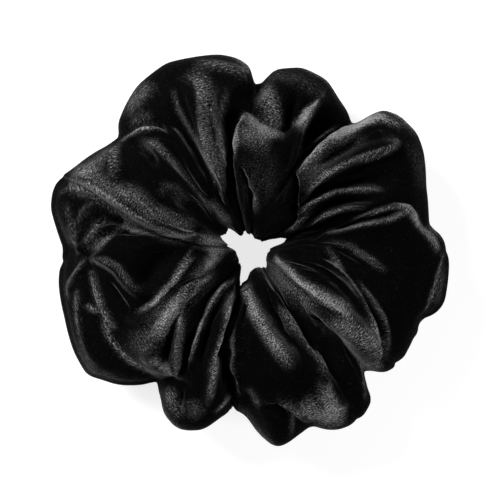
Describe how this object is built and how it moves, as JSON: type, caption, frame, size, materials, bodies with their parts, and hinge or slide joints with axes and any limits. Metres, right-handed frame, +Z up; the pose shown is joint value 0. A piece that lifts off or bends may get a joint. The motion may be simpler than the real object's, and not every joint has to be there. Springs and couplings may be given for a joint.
{
  "type": "scrunchie",
  "caption": "Velvet hair scrunchie: a gathered tube of cloth round a stretchy elastic loop, which opens to go over a ponytail and springs back.",
  "frame": {"origin": "centre of the ring on the surface that it lies on", "axes": "+Z up, along the axis of the hair opening; the closing seam lies 264.5 degrees round from +X, towards -Y"},
  "size_m": [0.1091, 0.1067, 0.031],
  "materials": {
    "velvet": "black stretch velvet with a short dense pile that shines at grazing angles",
    "velvet_hem": "black stretch velvet, turned in at the tube's sewn end",
    "elastic": "flat black knitted elastic",
    "thread": "fine black polyester sewing thread"
  },
  "bodies": {
    "closing_seam_a": {"cover_end_a": "velvet_hem", "elastic_end_a": "elastic", "elastic_lap_stitching": "thread", "closing_seam_stitching": "thread"},
    "puff_01": {"cover_puff_01": "velvet", "elastic_01": "elastic", "side_seam_thread_01": "thread"},
    "puff_02": {"cover_puff_02": "velvet", "elastic_02": "elastic", "side_seam_thread_02": "thread"},
    "puff_03": {"cover_puff_03": "velvet", "elastic_03": "elastic", "side_seam_thread_03": "thread"},
    "puff_04": {"cover_puff_04": "velvet", "elastic_04": "elastic", "side_seam_thread_04": "thread"},
    "puff_05": {"cover_puff_05": "velvet", "elastic_05": "elastic", "side_seam_thread_05": "thread"},
    "puff_06": {"cover_puff_06": "velvet", "elastic_06": "elastic", "side_seam_thread_06": "thread"},
    "puff_07": {"cover_puff_07": "velvet", "elastic_07": "elastic", "side_seam_thread_07": "thread"},
    "puff_08": {"cover_puff_08": "velvet", "elastic_08": "elastic", "side_seam_thread_08": "thread"},
    "puff_09": {"cover_puff_09": "velvet", "elastic_09": "elastic", "side_seam_thread_09": "thread"},
    "puff_10": {"cover_puff_10": "velvet", "elastic_10": "elastic", "side_seam_thread_10": "thread"},
    "closing_seam_b": {"cover_end_b": "velvet_hem", "elastic_end_b": "elastic"}
  },
  "joints": [
    {"name": "stretch_01", "type": "slide", "parent": "closing_seam_a", "child": "puff_01", "axis": [0.9995, 0.0305, 0], "range_m": [0, 0.00505], "stiffness_N_per_m": 718.4},
    {"name": "stretch_02", "type": "slide", "parent": "puff_01", "child": "puff_02", "axis": [0.9426, 0.3338, 0], "range_m": [0, 0.00729], "stiffness_N_per_m": 496.1},
    {"name": "stretch_03", "type": "slide", "parent": "puff_02", "child": "puff_03", "axis": [0.7254, 0.6884, 0], "range_m": [0, 0.00934], "stiffness_N_per_m": 385.8},
    {"name": "stretch_04", "type": "slide", "parent": "puff_03", "child": "puff_04", "axis": [0.3502, 0.9367, 0], "range_m": [0, 0.00866], "stiffness_N_per_m": 416.7},
    {"name": "stretch_05", "type": "slide", "parent": "puff_04", "child": "puff_05", "axis": [-0.2334, 0.9724, 0], "range_m": [0, 0.01466], "stiffness_N_per_m": 242.3},
    {"name": "stretch_06", "type": "slide", "parent": "puff_05", "child": "puff_06", "axis": [-0.809, 0.5878, 0], "range_m": [0, 0.01303], "stiffness_N_per_m": 274.1},
    {"name": "stretch_07", "type": "slide", "parent": "puff_06", "child": "puff_07", "axis": [-0.9976, -0.0698, 0], "range_m": [0, 0.01434], "stiffness_N_per_m": 248},
    {"name": "stretch_08", "type": "slide", "parent": "puff_07", "child": "puff_08", "axis": [-0.6626, -0.749, 0], "range_m": [0, 0.01595], "stiffness_N_per_m": 221.6},
    {"name": "stretch", "type": "slide", "parent": "puff_08", "child": "puff_09", "axis": [0.1219, -0.9925, 0], "range_m": [0, 0.0169], "stiffness_N_per_m": 208.3},
    {"name": "stretch_10", "type": "slide", "parent": "puff_09", "child": "puff_10", "axis": [0.766, -0.6428, 0], "range_m": [0, 0.01236], "stiffness_N_per_m": 289.4},
    {"name": "stretch_11", "type": "slide", "parent": "puff_10", "child": "closing_seam_b", "axis": [0.9713, -0.2377, 0], "range_m": [0, 0.00574], "stiffness_N_per_m": 631.4}
  ],
  "couplings": [
    {"joint": "stretch_01", "follows": "stretch", "ratio": 0.29861},
    {"joint": "stretch_02", "follows": "stretch", "ratio": 0.43121},
    {"joint": "stretch_03", "follows": "stretch", "ratio": 0.55238},
    {"joint": "stretch_04", "follows": "stretch", "ratio": 0.51214},
    {"joint": "stretch_05", "follows": "stretch", "ratio": 0.86722},
    {"joint": "stretch_06", "follows": "stretch", "ratio": 0.77036},
    {"joint": "stretch_07", "follows": "stretch", "ratio": 0.84797},
    {"joint": "stretch_08", "follows": "stretch", "ratio": 0.94352},
    {"joint": "stretch_10", "follows": "stretch", "ratio": 0.7312},
    {"joint": "stretch_11", "follows": "stretch", "ratio": 0.33953}
  ]
}
